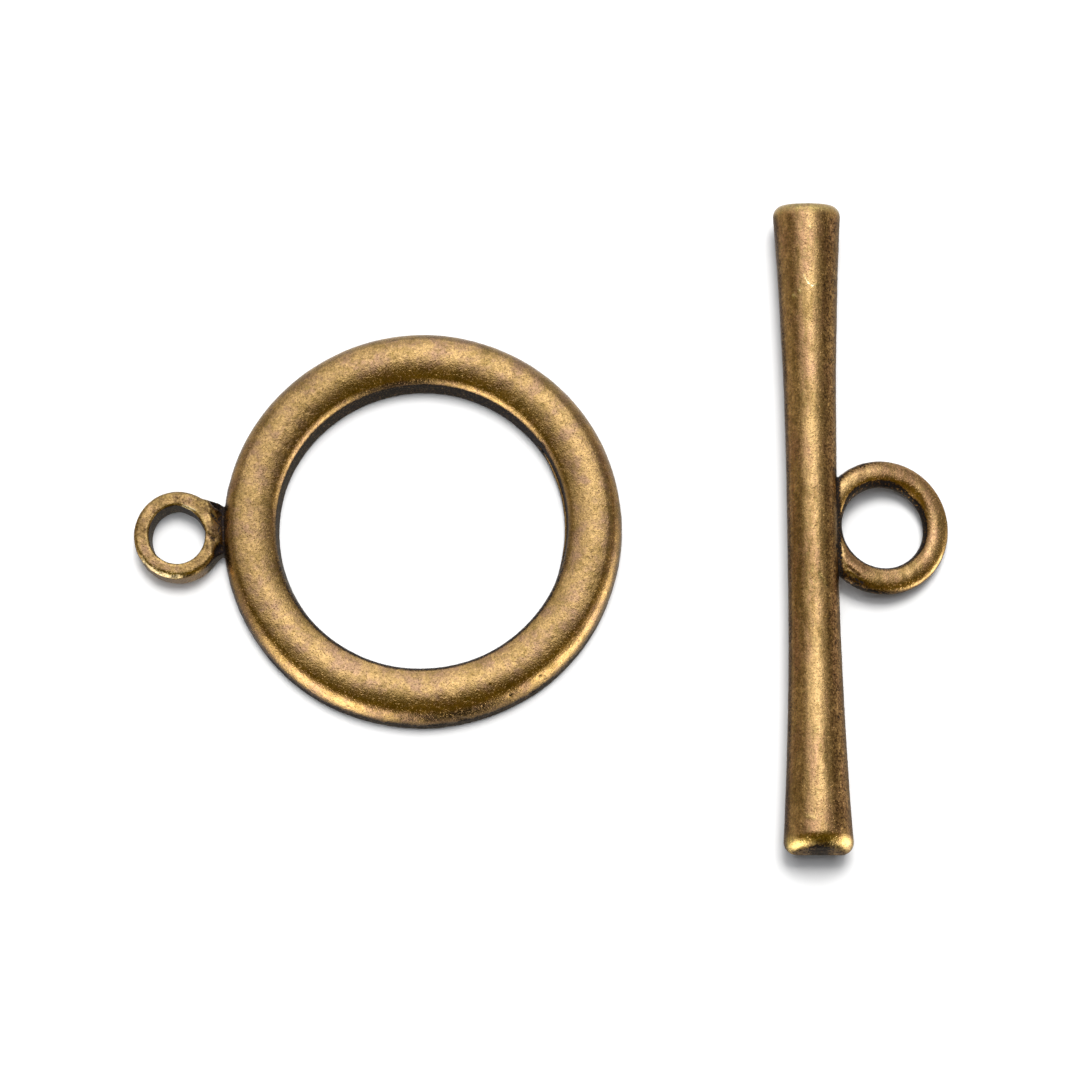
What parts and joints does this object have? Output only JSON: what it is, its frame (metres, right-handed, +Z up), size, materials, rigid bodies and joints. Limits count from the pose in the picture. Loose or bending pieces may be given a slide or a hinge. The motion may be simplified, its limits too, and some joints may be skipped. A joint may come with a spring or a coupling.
{
  "type": "toggle clasp",
  "caption": "Toggle clasp: a flat-backed, domed ring with a small washer-like loop, and a waisted round bar with rounded ends and a wire loop at its middle.",
  "frame": {"origin": "on the surface that both pieces lie on, under the middle of their common bounding box", "axes": "+X from the ring's small loop to the bar's loop, +Y along the bar, +Z up from the surface"},
  "size_m": [0.0328, 0.0268, 0.0028],
  "materials": {
    "ring_bronze": "antique bronze plate, mottled khaki gold, rubbed bright on the rims and dark in the hollows",
    "bar_bronze": "antique bronze plate, warmer brown, streaked along the bar, rubbed bright at the ends"
  },
  "bodies": {
    "root": {"toggle_ring": "ring_bronze", "toggle_bar": "bar_bronze"}
  },
  "joints": []
}
